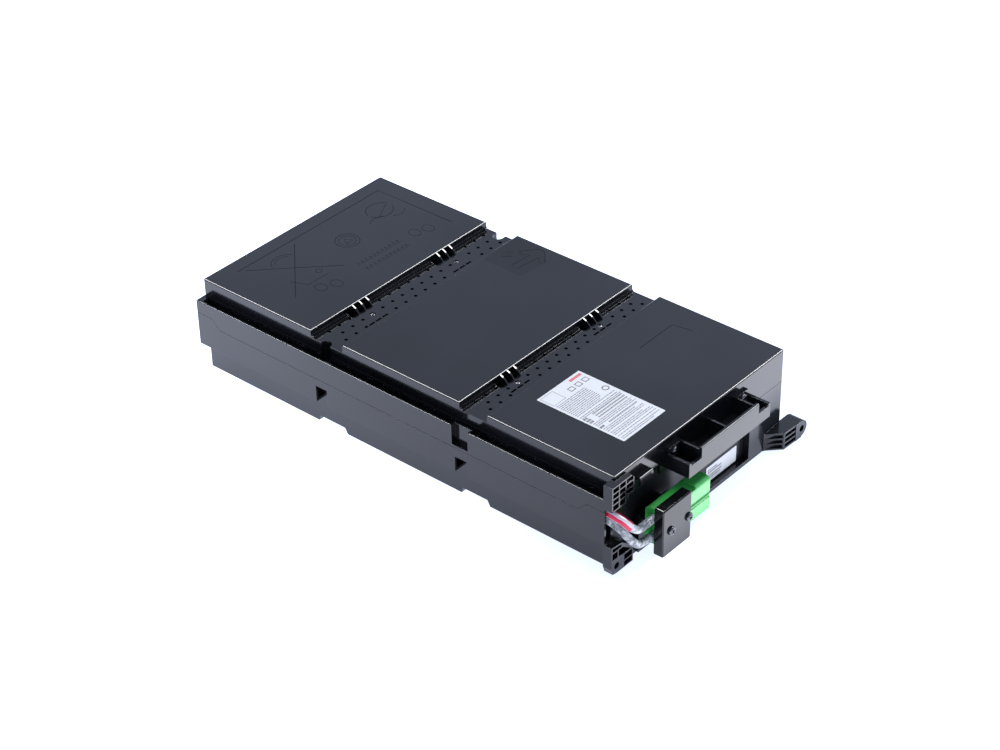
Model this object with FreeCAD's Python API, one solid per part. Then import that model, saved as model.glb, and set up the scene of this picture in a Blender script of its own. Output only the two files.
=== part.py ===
# UPS battery cartridge: a two-part moulded case with three pairs of sealed batteries, a pull handle
# and a two-pole connector at the front. Millimetres. +Z up, front towards -Y, the origin in the
# middle of the underside of the case.
import FreeCAD, Part
import math
import os

V = FreeCAD.Vector

# ---- batteries ------------------------------------------------------------------------------
battery_w = 90.0                # across the case, along X
battery_l = 101.0               # container and lid, along Y
battery_h = 70.0                # as it lies, along Z
battery_lid = 9.0               # depth of the lid at the terminal end
battery_edge = 1.0
battery_gap_x = 0.6             # battery to partition
battery_gap_end = 0.3           # battery to the step wall at its terminal end
battery_gap_top = 0.5
tab_w = 6.35                    # flat tab terminals
tab_t = 0.8
tab_l = 6.0
tab_inset_x = 11.0              # tab centre from the side of the battery
tab_inset_z = 14.0              # tab centre from the upper face of the battery
tab_foot = 1.2                  # terminal base plate
receptacle_w = 7.6              # insulated receptacle over a tab
receptacle_t = 4.0
receptacle_l = 12.0
receptacle_gap = 0.15
barrel_gap = 0.05
barrel_t = 0.8

# ---- case -----------------------------------------------------------------------------------
wall = 2.0
base_t = 2.5
lid_t = 2.5
partition_t = 2.0
side_room = 0.9                 # battery to outer side wall
pad_spare = 6.8                 # raised pad longer than the batteries under it
trough_1_l = 30.3               # between the rear and the middle pad
trough_2_l = 24.3               # between the middle and the front pad
trough_depth = 5.5
trough_floor_t = 2.0
pad_edge_r = 0.9
corner_r = 1.4
trough_r = 2.2                  # foot of the pad wall at the rear side of a trough
ledge_out = 1.6                 # ledge at the foot of the same wall
ledge_h = 1.5
part_gap = 0.3                  # visible gap between cover and tray
cover_skirt = 26.0              # height of the cover at front, rear and right
tongue_h = 2.0                  # tray tongue inside the cover wall
tongue_t = 0.8
tongue_gap = 0.1
tongue_in = 0.6                 # tongue from the outer face
partition_h = 42.0              # top of the wall between the batteries
stop_t = 1.6                    # cross ribs at both ends of each row
stop_h = 16.0

# ---- rail and lead duct on the left -----------------------------------------------------------
rail_out = 8.5                  # overhang past the case side
rail_skin = 1.8
rail_top_drop = 14.0            # rail top under the pad top
rail_bottom_drop = 51.3         # underside under the pad top
rail_floor_t = 2.0
shelf_setback = 4.0             # shelf end behind the rail front end
passage_low = 3.4               # floor of the side passages under the top of the shelf
rail_shelf_t = 1.4              # shelf that carries the leads
channel_depth = 7.5
channel_step = 0.7              # narrow shoulder on the case side, level with the rail top
rail_part_mid = 31.3            # parting line under the pad top, along the middle
rail_part_end = 24.0            # the same at both ends
rail_part_rear = 15.0           # length of the higher parting line at the rear
rail_part_front = 15.8
rail_part_slope = 7.5
rail_front_gap = 1.2            # rail front end behind the front plane
rail_end_ledge = 5.0            # solid rear end of the channel

# ---- joint details between the sections -------------------------------------------------------
notch_r = 4.3                   # half-round guide grooves in the cover sides
notch_left_straight = 0.0
notch_right_straight = 3.3
notch_off = 0.7                 # groove centre towards the rear from the trough middle
window_l = 10.6                 # openings in the rail under each trough
window_h_1 = 13.6
window_h_2 = 12.4
window_1_off = -0.4
window_2_off = 4.6
recess_l = 14.2                 # guide recess in the rail face at the front trough
recess_depth = 4.0
recess_off = 5.2
recess_skin = 1.2
belly_raise = 4.5               # underside raised under the troughs
belly_1_l = 24.0
belly_2_l = 22.0
belly_slope = 2.5

# ---- trough details ---------------------------------------------------------------------------
vent_d = 2.8                    # perforations
vent_pitch_x = 10.4
vent_row_1 = 8.1
vent_row_2 = 6.5
vent_shift_x = 2.0
vent_shift_1 = 1.9
vent_shift_2 = 2.5
vent_sides = 8
vent_edge = 11.0                # first perforation from the case side
vent_clear_left = 14.5          # no perforations beside the gussets and slots
vent_clear_right = 9.5
vent_clear_spot = 6.0           # none at a cover screw
gusset_t = 1.1
gusset_pitch = 6.9
gusset_out = 7.0
gusset_count = 3
slot_l = 5.6                    # slots opposite the gussets
slot_w = 1.6
slot_off = 6.6                  # slot centre from the trough middle
slot_shift_2 = 4.4
post_r = 4.0                    # screw posts of the tray
screw_spot_in = 1.6             # cover screws from the middle of each battery

# ---- front ------------------------------------------------------------------------------------
lug_w = 23.0                    # width of both left lugs
lug_out = 5.0                   # in front of the case
lug_top_drop = 2.0
lug_low = 21.5                  # lower end of the upper lug under the pad top
lug_low_inner = 16.4
lug_rib = 1.0
lug_root = 1.0                  # lugs reach back into the rail
lug_step = 15.0                 # width of the deeper part of the upper lug
foot_top = 25.0                 # left end of the lower lug above the base
foot_top_inner = 14.5
foot_bottom = 1.5
screw_z = 7.7                   # fixing screws of the cartridge
screw_hole_r = 2.6
left_hole_in = 5.6              # fixing hole from the rail side
left_lobe_r = 5.6
right_hole_out = 10.5           # fixing hole past the case side
right_lobe_r = 5.6
ear_root_in = 20.5              # from the case side
ear_bend_in = 9.5
ear_out = 11.5                  # ear front face in front of the case
ear_h = 14.0
ear_bottom = 0.4
ear_flange = 1.4
pilaster_in = 37.5              # from the right case side
front_lip = 3.3                 # base edge at the front opening
hood_in = 20.5                  # from the left case side
hood_w = 13.5
hood_drop = 10.0
hood_h = 6.5
hood_out = 5.5
hood_t = 1.6
mouth_in = 48.5                 # right end of the lead opening, from the left case side
mouth_drop = 16.5

# ---- handle -----------------------------------------------------------------------------------
handle_x0 = -40.6
handle_x1 = 50.5
handle_out = 20.0
handle_bottom_drop = 23.0
handle_top_drop = 5.5
handle_skin = 2.2
handle_pocket = 13.5            # screw pockets at both ends
handle_pocket_drop = 13.7
handle_rib = 1.6
handle_rib_drop = 2.2
handle_ledge = 3.0
handle_ledge_l = 14.0
handle_ledge_drop = 9.0
handle_screw_in = 7.0
screw_head_r = 3.2
screw_head_h = 2.2
screw_crown = 1.0               # bevelled rim of a head
screw_shank_r = 1.5
shank_sides = 12
screw_boss_r = 3.4
screw_fit = 0.15                # radial clearance round every screw
pilot_fit = 0.02                # thread form left out: shank in its pilot hole
pilot_depth = 16.0              # below the trough floor
drill_l = 20.0                  # cutting length of screw holes, past the walls they go through
spot_drill_l = 5.0
spot_head_r = 1.9               # small flat-headed cover screws
spot_head_h = 0.9
spot_depth = 0.8
cover_screw_l = 12.0

# ---- connector --------------------------------------------------------------------------------
plug_in = 27.5                  # from the left case side
plug_l = 52.0
plug_z0 = 10.5
plug_z1 = 39.5
plug_out = 19.0                 # front face in front of the case
plug_back = 4.5                 # back face in front of the case
plug_corner = 4.0
plug_waist = 1.2
plug_step_l = 15.0
plug_line_l = 22.0
plug_step_h = 2.0
plug_bore_w = 9.0
plug_bore_h = 9.2
plug_bore_depth = 12.0
contact_w = 7.4
contact_t = 2.2
contact_setback = 6.0
barrel_l = 12.0                 # lead inside the connector
clamp_in = 23.0                 # from the left case side
clamp_w = 30.7
clamp_z0 = 6.0
clamp_z1 = 44.5
clamp_t = 4.0
clamp_lip = 3.5                 # rim that grips over the connector ends
clamp_skin = 2.0
clamp_r = 1.6
clamp_screw_in = (31.6, 50.8)   # from the left case side
clamp_screw_z = 24.7
bracket_t = 3.0
bracket_in = 24.5               # from the left case side
bracket_w = 34.0
clamp_thread = 5.0              # screw length inside the bracket

# ---- leads ------------------------------------------------------------------------------------
cable_d = 5.8
jumper_d = 3.4
lead_sides = 8
run_drop = 33.5                 # leads across the bays, under the tabs
link_drop = 22.0                # short links under the tabs
run_bend_out = 13.4             # leads bend this far outside the block centres
knee_out = 4.5                  # leads turn into the duct in front of the case
knee_in = 40.0                  # slight bend of the leads inside the duct
tag_runs = slice(3, 5)          # runs of the upper lead under the wrapped label
tag_t = 0.25
tag_gap = 0.03

# ---- labels -----------------------------------------------------------------------------------
label_t = 0.12
top_label_left = 34.9           # from the left, front and rear edges of the front pad
top_label_front = 19.4
top_label_rear = 14.1
top_label_w = 44.8
front_label_left = 33.2         # from the middle of the battery
front_label_right = 1.7
front_label_z0 = 5.0
front_label_z1 = 17.9

# ---- worked out -------------------------------------------------------------------------------
half_w = partition_t / 2 + battery_gap_x + battery_w + side_room + wall
pad_l = battery_l + pad_spare
half_l = (3 * pad_l + trough_1_l + trough_2_l) / 2
top = base_t + battery_h + battery_gap_top + lid_t
floor_z = top - trough_depth
part_z = top - cover_skirt
battery_x = partition_t / 2 + battery_gap_x + battery_w / 2
pad_3 = (-half_l, -half_l + pad_l)
pad_2 = (pad_3[1] + trough_2_l, pad_3[1] + trough_2_l + pad_l)
pad_1 = (pad_2[1] + trough_1_l, half_l)
trough_1 = (pad_2[1], pad_1[0])
trough_2 = (pad_3[1], pad_2[0])
mid_1 = sum(trough_1) / 2
mid_2 = sum(trough_2) / 2
end_gap = wall + battery_gap_end
end_1 = pad_1[0] + end_gap          # terminal ends of the three rows of batteries
end_2 = pad_2[1] - end_gap
end_3 = pad_3[1] - end_gap
rail_x = -half_w - rail_out
left_hole_x = rail_x + left_hole_in
right_hole_x = half_w + right_hole_out
ear_root_x = half_w - ear_root_in
ear_bend_x = half_w - ear_bend_in
pilaster_x = half_w - pilaster_in
hood_x0 = -half_w + hood_in
mouth_x1 = -half_w + mouth_in
screw_spot_x = battery_x - screw_spot_in
plug_x0 = -half_w + plug_in
plug_x1 = plug_x0 + plug_l
plug_y0 = -half_l - plug_out
plug_y1 = -half_l - plug_back
clamp_x0 = -half_w + clamp_in
clamp_x1 = clamp_x0 + clamp_w
clamp_screw_x = [-half_w + inset for inset in clamp_screw_in]
bracket_x0 = -half_w + bracket_in
bracket_x1 = bracket_x0 + bracket_w
rail_bottom = top - rail_bottom_drop
rail_in = rail_x + rail_skin
rail_top = top - rail_top_drop
rail_y0 = -half_l + rail_front_gap
channel_z = rail_top - channel_depth
mid_z = top - rail_part_mid
end_z = top - rail_part_end
tab_z = base_t + battery_h - tab_inset_z
tab_x = battery_x + battery_w / 2 - tab_inset_x
tab_x_in = battery_x - battery_w / 2 + tab_inset_x
screw_row_1 = mid_1 + vent_shift_1
screw_row_2 = mid_2 + vent_shift_2
run_z = tab_z - run_drop
link_z = tab_z - link_drop
shelf_z = rail_bottom + window_h_1 + 0.4
duct_x = (rail_in - half_w) / 2
duct_z_low = shelf_z + rail_shelf_t + cable_d / 2 + 0.4
duct_z_high = duct_z_low + cable_d + 0.15
plug_y = (plug_y0 + plug_y1) / 2
plug_z = (plug_z0 + plug_z1) / 2
pole_z = (plug_z1 - plug_z0) / 4
rise_low = (plug_z - pole_z + duct_z_low) / 2 - 0.8
rise_high = (plug_z + pole_z + duct_z_high) / 2 - 1.5


# ---- helpers ----------------------------------------------------------------------------------
def box(x0, x1, y0, y1, z0, z1):
    return Part.makeBox(x1 - x0, y1 - y0, z1 - z0, V(x0, y0, z0))


def fused(shapes):
    return shapes[0].fuse(shapes[1:]).removeSplitter()


def outline(points, place):
    corners = [place(*p) for p in points]
    return Part.Face(Part.makePolygon(corners + corners[:1]))


def along_x(points, x0, x1):
    return outline(points, lambda y, z: V(x0, y, z)).extrude(V(x1 - x0, 0, 0))


def along_y(points, y0, y1):
    return outline(points, lambda x, z: V(x, y0, z)).extrude(V(0, y1 - y0, 0))


def along_z(points, z0, z1):
    return outline(points, lambda x, y: V(x, y, z0)).extrude(V(0, 0, z1 - z0))


def rod(x, y, z, r, length, axis):
    return Part.makeCylinder(r, length, V(x, y, z), axis)


def rounded(shape, r, chosen):
    return shape.makeFillet(r, [e for e in shape.Edges if chosen(e)])


def bevelled(shape, size, chosen):
    return shape.makeChamfer(size, [e for e in shape.Edges if chosen(e)])


def ring(r, sides, centre, axis):
    """Closed wire of straight sides round an axis."""
    across = axis.cross(V(0.3, 0.2, 1)).normalize() * r
    turn = FreeCAD.Rotation(axis, 360 / sides)
    corners = []
    for side in range(sides):
        corners.append(centre + across)
        across = turn.multVec(across)
    return Part.makePolygon(corners + corners[:1])


def all_at(edge, axis, value):
    return all(abs(getattr(v.Point, axis) - value) < 1e-4 for v in edge.Vertexes)


def is_along(edge, direction):
    if not isinstance(edge.Curve, (Part.Line, Part.LineSegment)):
        return False
    return abs(edge.tangentAt(edge.FirstParameter).dot(direction)) > 0.9999


def pan_screw(x, y, z, length):
    """Pan-head screw driven towards +Y, with the underside of its head at y."""
    front = y - screw_head_h
    head = rod(x, front, z, screw_head_r, screw_head_h, V(0, 1, 0))
    head = bevelled(head, screw_crown, lambda e: all_at(e, "y", front) and e.Length > screw_head_r * 4)
    shank = Part.Face(ring(screw_shank_r, shank_sides, V(x, y, z), V(0, 1, 0))).extrude(V(0, length, 0))
    return head.fuse(shank)


def route(points):
    """Path of a lead: straight runs joined by tangent arcs, each as large as its two runs allow."""
    nodes = [V(*p) for p in points]
    edges = []
    start = nodes[0]
    for before, corner, after in zip(nodes, nodes[1:], nodes[2:]):
        into = (corner - before).normalize()
        out = (after - corner).normalize()
        turn = math.acos(max(-1.0, min(1.0, into.dot(out))))
        reach = 0.45 * min((corner - before).Length, (after - corner).Length)
        radius = reach / math.tan(turn / 2)
        print("turn %.0f deg, radius %.1f mm" % (math.degrees(turn), radius))
        first = corner - into * reach
        last = corner + out * reach
        centre = corner + (out - into).normalize() * (radius / math.cos(turn / 2))
        middle = centre + (corner - centre).normalize() * radius
        edges.append(Part.LineSegment(start, first).toShape())
        edges.append(Part.Arc(first, middle, last).toShape())
        start = last
    return edges + [Part.LineSegment(start, nodes[-1]).toShape()]


def swept(edges, r):
    path = Part.Wire(edges)
    first = edges[0]
    section = ring(r, lead_sides, first.valueAt(first.FirstParameter), first.tangentAt(first.FirstParameter))
    return path.makePipeShell([section], True, False)


def round_the_lead(d, gap):
    """Corner radius of a many-sided hole that clears a lead, however the lead is turned in it."""
    return (d / 2 + gap) / math.cos(math.pi / lead_sides)


def lead(points, d):
    edges = route(points)
    tube = swept(edges, d / 2)
    section = lead_sides * d * d / 8 * math.sin(2 * math.pi / lead_sides)
    expected = section * sum(edge.Length for edge in edges)
    print("volume %.0f of %.0f" % (tube.Volume, expected))
    return tube


# ---- batteries --------------------------------------------------------------------------------
def battery(side, end, way):
    """One sealed battery on its side; way is +1 or -1, the direction in which its tabs point."""
    x0 = side * battery_x - battery_w / 2
    body = box(x0, x0 + battery_w, min(end, end - way * battery_l), max(end, end - way * battery_l),
               base_t, base_t + battery_h)
    body = bevelled(body, battery_edge, lambda e: is_along(e, V(0, 1, 0)))
    seam_y = end - way * battery_lid
    groove = box(x0 - 1, x0 + battery_w + 1, seam_y - 0.3, seam_y + 0.3, base_t - 1, top)
    core = box(x0 + 0.4, x0 + battery_w - 0.4, seam_y - 1, seam_y + 1,
               base_t + 0.4, base_t + battery_h - 0.4)
    return body.cut(groove.cut(core))


def battery_tabs(side, end, way):
    tabs = []
    for x in (side * tab_x, side * tab_x_in):
        foot = box(x - tab_w / 2 - 1, x + tab_w / 2 + 1, min(end, end + way * tab_foot),
                   max(end, end + way * tab_foot), tab_z - 2.5, tab_z + 2.5)
        blade = box(x - tab_w / 2, x + tab_w / 2, min(end, end + way * (tab_foot + tab_l)),
                    max(end, end + way * (tab_foot + tab_l)), tab_z - tab_t / 2, tab_z + tab_t / 2)
        tabs.append(foot.fuse(blade))
    return tabs


rows = ((end_1, -1), (end_2, 1), (end_3, 1))
cells = [(side, end, way) for end, way in rows for side in (-1, 1)]
batteries = [battery(*cell) for cell in cells]
tabs = [tab for cell in cells for tab in battery_tabs(*cell)]


# ---- insulated flag receptacles on the tabs ------------------------------------------------------
def receptacle(x, end, way, d):
    """Flag receptacle: it covers the tab and its barrel points down to the lead."""
    near = end + way * (tab_foot + receptacle_gap)
    far = near + way * (tab_l + 1.5)
    body = box(x - receptacle_w / 2, x + receptacle_w / 2, min(near, far), max(near, far),
               tab_z - receptacle_t / 2, tab_z + receptacle_t / 2)
    slot = box(x - tab_w / 2 - receptacle_gap, x + tab_w / 2 + receptacle_gap,
               min(near, near + way * (tab_l + 0.2)), max(near, near + way * (tab_l + 0.2)),
               tab_z - tab_t / 2, tab_z + tab_t / 2)
    y = (near + far) / 2
    under = tab_z - receptacle_t / 2
    low = V(x, y, under - receptacle_l)
    fit_r = round_the_lead(d, barrel_gap)
    barrel = Part.Face(ring(fit_r + barrel_t, lead_sides, low, V(0, 0, 1)))
    socket = Part.Face(ring(fit_r, lead_sides, low, V(0, 0, 1)))
    barrel = barrel.extrude(V(0, 0, receptacle_l))
    socket = socket.extrude(V(0, 0, receptacle_l - 2))
    return body.fuse(barrel).cut(socket).cut(slot)


def lead_start(x, end, way):
    y = end + way * (tab_foot + receptacle_gap + (tab_l + 1.5) / 2)
    return (x, y, tab_z - receptacle_t / 2 - 2)


# ---- cover ------------------------------------------------------------------------------------
def notch(x_wall, straight, r, z0, z1):
    """Half-round groove in a side, with straight flanks when it is deeper than its radius."""
    inward = -1 if x_wall > 0 else 1
    y = mid_1 + notch_off
    x_round = x_wall + inward * straight
    flank = box(min(x_wall - inward * 5, x_round), max(x_wall - inward * 5, x_round),
                y - r, y + r, z0, z1)
    return flank.fuse(rod(x_round, y, z0, r, z1 - z0, V(0, 0, 1)))


def vents():
    holes = []
    rows = [(mid_1 + vent_shift_1 + k * vent_row_1, k) for k in (-1, 0, 1)]
    rows += [(mid_2 + vent_shift_2 + k * vent_row_2, k) for k in (-1, 0, 1)]
    count = int((half_w - vent_edge) * 2 / vent_pitch_x) + 1
    for y, k in rows:
        number = count if k else count - 1
        for i in range(number):
            x = vent_shift_x + (i - (number - 1) / 2) * vent_pitch_x
            off = x - math.copysign(screw_spot_x, x)
            if (-vent_clear_left < off < vent_clear_right) if k else abs(off) < vent_clear_spot:
                continue
            corners = [(x + vent_d / 2 * math.cos(2 * math.pi * j / vent_sides),
                        y + vent_d / 2 * math.sin(2 * math.pi * j / vent_sides))
                       for j in range(vent_sides)]
            holes.append(along_z(corners, floor_z - trough_floor_t - 1, floor_z + 1))
    return holes


def gusset(x, y):
    """Thin rib with a convex edge from the pad top down to the trough floor."""
    edge = V(x, y + 0.5, top - 0.2)
    brow = V(x, y, top - 0.2)
    bulge = V(x, y - gusset_out * 0.62, floor_z + trough_depth * 0.56)
    toe = V(x, y - gusset_out, floor_z)
    heel = V(x, y + 0.5, floor_z)
    wire = Part.Wire([Part.LineSegment(edge, brow).toShape(), Part.Arc(brow, bulge, toe).toShape(),
                      Part.LineSegment(toe, heel).toShape(), Part.LineSegment(heel, edge).toShape()])
    return Part.Face(wire).extrude(V(gusset_t, 0, 0))


def gussets(y):
    ribs = []
    openings = []
    for side in (-1, 1):
        for k in range(gusset_count):
            x = side * screw_spot_x + (k - (gusset_count - 1) / 2) * gusset_pitch
            ribs.append(gusset(x - gusset_t / 2, y))
            openings.append(box(x - gusset_pitch + gusset_t, x - gusset_t / 2 - 0.3,
                                y - gusset_out + 1.4, y - 0.01, floor_z - trough_floor_t - 1,
                                floor_z + ledge_h + 1))
    return ribs, openings


def cover_outline():
    """Side view of the cover: three pads and two troughs, with a rounded foot at each rear pad."""
    def foot(y):
        arc = [math.radians(a) for a in (90, 67.5, 45, 22.5, 0)]
        return [(y - trough_r + trough_r * math.cos(a), floor_z + trough_r - trough_r * math.sin(a))
                for a in arc]
    points = [(-half_l, part_z), (-half_l, top), (pad_3[1], top), (pad_3[1], floor_z)]
    points += foot(pad_2[0]) + [(pad_2[0], top), (pad_2[1], top), (pad_2[1], floor_z)]
    points += foot(pad_1[0]) + [(pad_1[0], top), (half_l, top), (half_l, part_z)]
    return points


def cover_inside():
    ceiling = top - lid_t
    under = floor_z - trough_floor_t
    points = [(-half_l + wall, part_z - 1), (-half_l + wall, ceiling)]
    for left, right in ((pad_3[1], pad_2[0]), (pad_2[1], pad_1[0])):
        points += [(left - wall, ceiling), (left - wall, under)]
        points += [(right + wall, under), (right + wall, ceiling)]
    points += [(half_l - wall, ceiling), (half_l - wall, part_z - 1)]
    return points


def rail_cover():
    """Open channel along the left side, with the outer skirt down to the parting line."""
    under = channel_z - rail_skin
    profile = [(-half_w + 0.5, channel_z), (rail_in, channel_z), (rail_in, rail_top),
               (rail_x, rail_top), (rail_x, mid_z), (rail_in, mid_z), (rail_in, under),
               (-half_w + 0.5, under)]
    rail = along_y(profile, rail_y0, half_l)
    rear = box(rail_x, -half_w + 0.5, half_l - rail_end_ledge, half_l, end_z, rail_top)
    rail = fused([rail, rear])
    rail = rounded(rail, 0.4, lambda e: all_at(e, "z", rail_top) and all_at(e, "x", rail_x))
    low = mid_z - 1
    y_r = half_l - rail_part_rear
    y_f = rail_y0 + rail_part_front - rail_front_gap
    rail = rail.cut(along_x([(y_r - rail_part_slope, mid_z), (y_r, end_z), (half_l + 1, end_z),
                             (half_l + 1, low), (y_r - rail_part_slope, low)], rail_x - 1, rail_in + 1))
    rail = rail.cut(along_x([(y_f + rail_part_slope, mid_z), (y_f, end_z), (rail_y0 - 1, end_z),
                             (rail_y0 - 1, low), (y_f + rail_part_slope, low)], rail_x - 1, rail_in + 1))
    y0 = mid_2 + recess_off - recess_l / 2
    y1 = y0 + recess_l
    hollow = box(rail_x - 1, rail_x + recess_depth, y0, y1, mid_z + rail_skin, rail_top + 1)
    liner = box(rail_x, rail_x + recess_depth + recess_skin, y0 - recess_skin, y1 + recess_skin,
                mid_z, rail_top)
    return rail.cut(hollow).fuse(liner.cut(hollow)).removeSplitter()


def upper_lug():
    """Ribbed lug at the front left: a thin-walled block with cells open to the front."""
    x0 = rail_x
    x1 = rail_x + lug_w
    z1 = top - lug_top_drop
    step_x = x0 + lug_step
    z_low = top - lug_low
    z_in = top - lug_low_inner
    front = -half_l - lug_out
    back = rail_y0
    body = along_y([(x0, z_low), (x0, z1), (x1 - 3, z1), (x1, z1 - 3), (x1, z_in), (step_x, z_in),
                    (step_x, z_low)], front, back + lug_root)
    cells = []
    columns = (x0 + lug_rib, x0 + 8, step_x, x1 - lug_rib)
    levels = (z_low + lug_rib, z_low + 6.2, z_low + 10.6, z_low + 15, z1 - lug_rib)
    for left, right in zip(columns, columns[1:]):
        for low, high in zip(levels, levels[1:]):
            if left >= step_x and low < z_in:
                continue
            cells.append(box(left, right - (lug_rib if right < x1 - lug_rib else 0), front - 1,
                             front + 4, low, high - (lug_rib if high < z1 - lug_rib else 0)))
    return body.cut(cells)


def hood():
    """Small shelf over the lead opening."""
    y0 = -half_l - hood_out
    z1 = top - hood_drop
    shelf = box(hood_x0, hood_x0 + hood_w, y0, -half_l + 0.5, z1 - hood_t, z1)
    apron = box(hood_x0, hood_x0 + hood_w, y0, y0 + hood_t, z1 - hood_h, z1)
    shape = fused([shelf, apron])
    return rounded(shape, 0.8, lambda e: all_at(e, "z", z1) and all_at(e, "y", y0))


def cover_block():
    """Outside of the cover with its rounded corners, still solid and with sharp upper edges."""
    block = along_x(cover_outline(), -half_w, half_w)
    return rounded(block, corner_r, lambda e: is_along(e, V(0, 0, 1)) and
                   abs(abs(e.Vertexes[0].Y) - half_l) < 1e-4)


def lead_ways():
    """Mouth of the lead duct and the two side passages from it into the case."""
    under = channel_z - rail_skin
    return [box(rail_in, -half_w + wall, -half_l - lug_out - 1, rail_y0 + 3, part_z - 1, under),
            box(-half_w - 0.3, -half_w + wall + 0.1, end_3 - 1, passage_y1, part_z - 1, under),
            box(-half_w - 0.3, -half_w + wall + 0.1, passage_y2, end_1 - 1, part_z - 1, under)]


def guide_rails():
    """Guide rail with the upper lug, in one length for each section of the case, front to rear."""
    whole = fused([rail_cover(), upper_lug()]).cut([cover_block()] + lead_ways())
    cuts = (-half_l - lug_out - 1, mid_2 + recess_off + recess_l / 2 + recess_skin, mid_1 + notch_off,
            half_l + 1)
    return [whole.common(box(rail_x - 1, half_w, y0, y1, 0, top)).removeSplitter()
            for y0, y1 in zip(cuts, cuts[1:])]


def top_cover():
    shell = rounded(cover_block(), pad_edge_r, lambda e: all_at(e, "z", top))
    cavity = along_x(cover_inside(), -half_w + wall, half_w - wall)
    left = notch(-half_w, notch_left_straight, notch_r, channel_z, top + 1)
    right = notch(half_w, notch_right_straight, notch_r, part_z - 1, top + 1)
    left_keep = notch(-half_w, notch_left_straight, notch_r + wall, channel_z - rail_skin, top + 1)
    right_keep = notch(half_w, notch_right_straight, notch_r + wall, part_z - 2, top + 1)
    shell = shell.cut(cavity.cut([left_keep, right_keep]))
    ribs = []
    bars = []
    openings = []
    for pad in (pad_1, pad_2):
        pad_ribs, gaps = gussets(pad[0])
        ribs += pad_ribs
        openings += gaps
        bars.append(box(-half_w + 2.5, half_w - 2.5, pad[0] - ledge_out, pad[0] + 0.5,
                          floor_z - 0.5, floor_z + ledge_h))
    ledge_gap = [box(s * screw_spot_x - gusset_pitch * 2, s * screw_spot_x + gusset_pitch * 1.1,
                     pad[0] - ledge_out - 1, pad[0] - 0.01, floor_z + 0.01, floor_z + ledge_h + 1)
                 for s in (-1, 1) for pad in (pad_1, pad_2)]
    bars = [bar.cut(ledge_gap) for bar in bars]
    shoulder = box(-half_w - channel_step, -half_w + 0.5, rail_y0 + lug_root,
                   half_l - rail_end_ledge, channel_z, rail_top - 0.2)
    shell = shell.fuse(bars + [shoulder, hood()])
    shell = shell.cut(openings).fuse(ribs)
    shell = shell.cut([left, right] + vents())
    slots = [box(s * screw_spot_x + k * gusset_pitch - slot_l / 2 - 3, s * screw_spot_x + k * gusset_pitch
                 + slot_l / 2 - 3, mid - slot_off - slot_w / 2, mid - slot_off + slot_w / 2,
                 floor_z - trough_floor_t - 1, floor_z + 1)
             for s in (-1, 1) for k in (-1, 0, 1) for mid in (mid_1, mid_2 + slot_shift_2)]
    shell = shell.cut(slots)
    mouth = box(rail_x + lug_w + 1, mouth_x1, -half_l - 0.1, -half_l + wall + 1, part_z - 1,
                top - mouth_drop)
    screw_holes = [rod(s * screw_spot_x, y, floor_z - 4, screw_shank_r + screw_fit, 6, V(0, 0, 1))
                   for s in (-1, 1) for y in (screw_row_1, screw_row_2)]
    pilots = [rod(x, -half_l - 0.1, handle_screw_z, screw_shank_r + pilot_fit, wall + 0.2, V(0, 1, 0))
              for x in handle_screw_xs]
    return shell.cut([mouth] + lead_ways() + screw_holes + pilots)


handle_screw_z = top - handle_pocket_drop + 1.5
handle_screw_xs = (handle_x0 + handle_screw_in, handle_x1 - handle_screw_in)
passage_y1 = end_2 - battery_l + 7.5
passage_y2 = end_2 + 0.5
passage_z = shelf_z + rail_shelf_t - passage_low


# ---- tray -------------------------------------------------------------------------------------
def tray_outline():
    """Side view of the tray: flat underside, raised under the troughs."""
    points = [(-half_l, 0)]
    for y0, y1 in ((trough_2[0] + 1.2, trough_2[0] + 1.2 + belly_2_l),
                   (trough_1[0] + 2.1, trough_1[0] + 2.1 + belly_1_l)):
        points += [(y0 - belly_slope, 0), (y0, belly_raise), (y1, belly_raise), (y1 + belly_slope / 2, 0)]
    return points + [(half_l, 0), (half_l, part_z - part_gap), (-half_l, part_z - part_gap)]


def tray_inside():
    points = [(-half_l + wall, base_t)]
    for y0, y1 in ((trough_2[0] + 1.2, trough_2[0] + 1.2 + belly_2_l),
                   (trough_1[0] + 2.1, trough_1[0] + 2.1 + belly_1_l)):
        points += [(y0 - belly_slope, base_t), (y0, base_t + belly_raise),
                   (y1, base_t + belly_raise), (y1 + belly_slope / 2, base_t)]
    return points + [(half_l - wall, base_t), (half_l - wall, part_z), (-half_l + wall, part_z)]


def rail_tray():
    """Lower half of the rail: floor, outer skirt, lead shelf and rear end, with two openings."""
    z_end = end_z - part_gap
    z_mid = mid_z - part_gap
    y_r = half_l - rail_part_rear
    y_f = rail_y0 + rail_part_front - rail_front_gap
    skirt = along_x([(rail_y0, rail_bottom), (rail_y0, z_end), (y_f, z_end),
                     (y_f + rail_part_slope, z_mid), (y_r - rail_part_slope, z_mid), (y_r, z_end),
                     (half_l, z_end), (half_l, rail_bottom)], rail_x, rail_in)
    floor = box(rail_x, -half_w + 0.5, rail_y0, half_l, rail_bottom, rail_bottom + rail_floor_t)
    shelf = box(rail_in - 0.5, -half_w + 0.5, rail_y0 + shelf_setback, half_l - 1, shelf_z,
                shelf_z + rail_shelf_t)
    rear = box(rail_x, -half_w + 0.5, half_l - wall, half_l, rail_bottom, part_z - part_gap)
    rail = fused([skirt, floor, shelf, rear])
    windows = [box(rail_x - 1, -half_w, mid + off - window_l / 2, mid + off + window_l / 2,
                   rail_bottom - 1, rail_bottom + high)
               for mid, off, high in ((mid_1, window_1_off, window_h_1), (mid_2, window_2_off, window_h_2))]
    return rail.cut(windows)


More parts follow.
